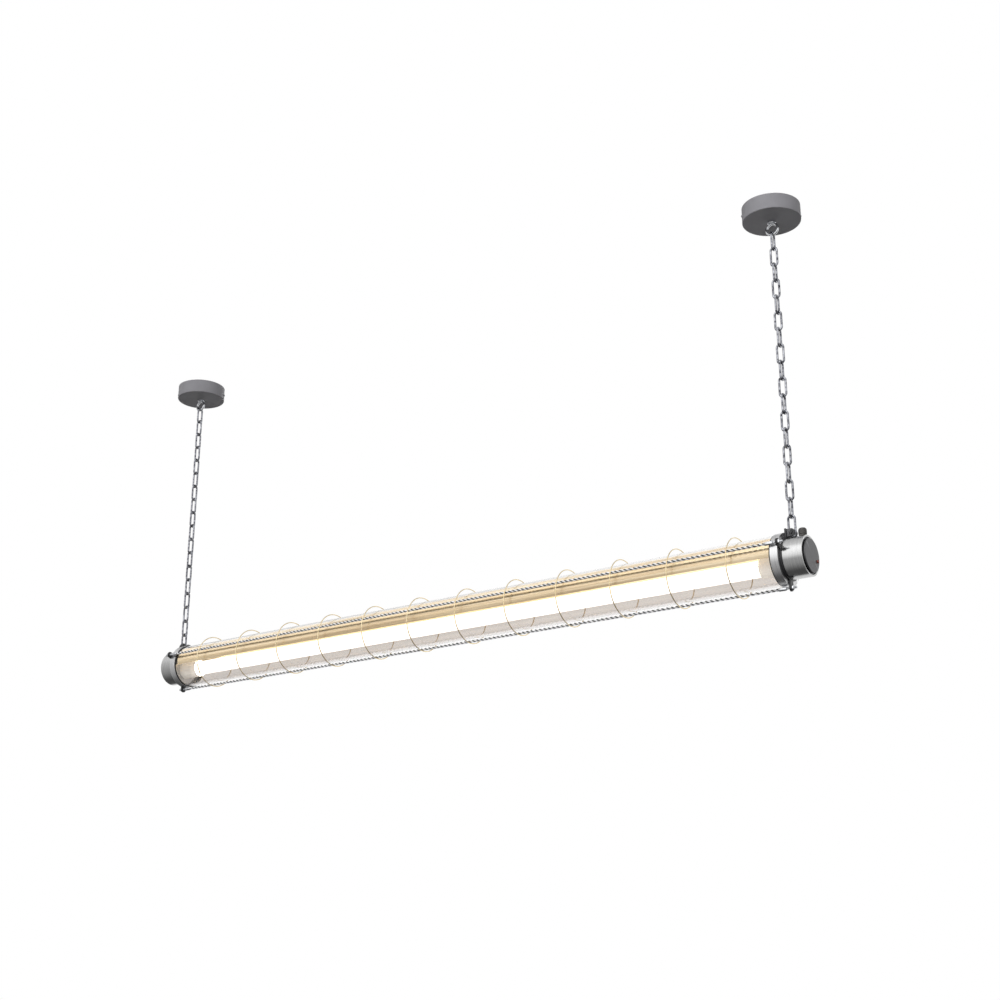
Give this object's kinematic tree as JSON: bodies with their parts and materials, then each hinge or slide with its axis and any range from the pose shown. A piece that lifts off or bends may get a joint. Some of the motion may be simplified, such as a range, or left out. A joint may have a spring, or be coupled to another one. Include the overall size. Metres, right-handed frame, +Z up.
{
  "type": "tubular chain pendant light",
  "caption": "Clear glass tube light with a straight lamp and gold reflector, caged by wire stays and hoops, hung level on two link chains from round ceiling cups.",
  "frame": {"origin": "on the ceiling plane, midway between the two ceiling cups, at the centre of the ceiling screw pattern", "axes": "+X along the tube towards the cable gland's end, +Y to the rear, +Z up into the ceiling"},
  "size_m": [1.357, 0.0938, 0.6296],
  "materials": {
    "canopy_grey": "satin grey paint",
    "zinc_steel": "zinc plated",
    "bright_steel": "bright plated",
    "chain_steel": "plated, slightly dull",
    "clear_glass": "clear",
    "gold_sheet": "gold anodised, drawn along its length",
    "hoop_steel": "plain wire",
    "rope_steel": "twisted wire rope",
    "bright_ring": "polished",
    "black_rubber": "matt",
    "black_steel": "satin black paint",
    "holder_white": "moulded",
    "satin_aluminium": "satin turned",
    "brushed_cover": "brushed",
    "red_plug": "moulded",
    "gland_grey": "moulded, dark grey",
    "lead_white": "insulated wire",
    "lamp_opal": "opal, lit",
    "contact_brass": "bright",
    "board_white": "coated board"
  },
  "bodies": {
    "ceiling_mount": {"left_canopy": "canopy_grey", "right_canopy": "canopy_grey", "mounting_straps": "zinc_steel", "eye_bolts": "bright_steel"},
    "left_link": {"left_top_link": "chain_steel"},
    "right_link": {"right_top_link": "chain_steel"},
    "left_hanging_chain": {"left_chain": "chain_steel"},
    "right_hanging_chain": {"right_chain": "chain_steel"},
    "light_body": {"glass_tube": "clear_glass", "reflector": "gold_sheet", "guard_hoops": "hoop_steel", "front_stay": "rope_steel", "rear_stay": "rope_steel", "bottom_stay": "rope_steel", "front_stay_terminals": "bright_steel", "rear_stay_terminals": "bright_steel", "bottom_stay_terminals": "bright_steel", "stay_nuts": "bright_steel", "left_end_flange": "bright_ring", "right_end_flange": "bright_ring", "left_end_gasket": "black_rubber", "right_end_gasket": "black_rubber", "left_hanger_plate": "black_steel", "right_hanger_plate": "black_steel", "hanger_pins": "black_steel", "left_lampholder": "holder_white", "right_lampholder": "holder_white", "left_holder_nut": "zinc_steel", "right_holder_nut": "zinc_steel", "left_end_drum": "satin_aluminium", "right_end_drum": "satin_aluminium", "left_end_cover": "brushed_cover", "right_end_cover": "brushed_cover", "cover_plug": "red_plug", "gland_body": "gland_grey", "gland_nut": "gland_grey", "terminal_block": "holder_white", "lamp_leads": "lead_white"},
    "lamp_body": {"lamp_tube": "lamp_opal", "lamp_pins": "contact_brass", "led_board": "board_white", "left_lamp_cap": "satin_aluminium", "right_lamp_cap": "satin_aluminium", "left_holder_rotor": "holder_white", "right_holder_rotor": "holder_white"}
  },
  "joints": [
    {"name": "swing_left_chain", "type": "hinge", "parent": "ceiling_mount", "child": "left_link", "pos_m": [-0.6325, 0, -0.0483], "axis": [1, 0, 0], "range_deg": [-25, 25]},
    {"name": "swing_right_chain", "type": "hinge", "parent": "ceiling_mount", "child": "right_link", "pos_m": [0.6325, 0, -0.0483], "axis": [1, 0, 0], "range_deg": [-25, 25]},
    {"name": "sway_left_chain", "type": "hinge", "parent": "left_link", "child": "left_hanging_chain", "pos_m": [-0.6325, 0, -0.0755], "axis": [0, 1, 0], "range_deg": [-15, 15]},
    {"name": "sway_right_chain", "type": "hinge", "parent": "right_link", "child": "right_hanging_chain", "pos_m": [0.6325, 0, -0.0755], "axis": [0, 1, 0], "range_deg": [-15, 15]},
    {"name": "level_light", "type": "hinge", "parent": "left_hanging_chain", "child": "light_body", "pos_m": [-0.6325, 0, -0.54185], "axis": [0, 1, 0], "range_deg": [-15, 15]},
    {"name": "turn_lamp", "type": "hinge", "parent": "light_body", "child": "lamp_body", "pos_m": [0, 0, -0.58785], "axis": [1, 0, 0], "range_deg": [0, 90]}
  ],
  "couplings": [
    {"joint": "swing_right_chain", "follows": "swing_left_chain", "ratio": 1},
    {"joint": "sway_right_chain", "follows": "sway_left_chain", "ratio": 1},
    {"joint": "level_light", "follows": "sway_left_chain", "ratio": -1}
  ]
}
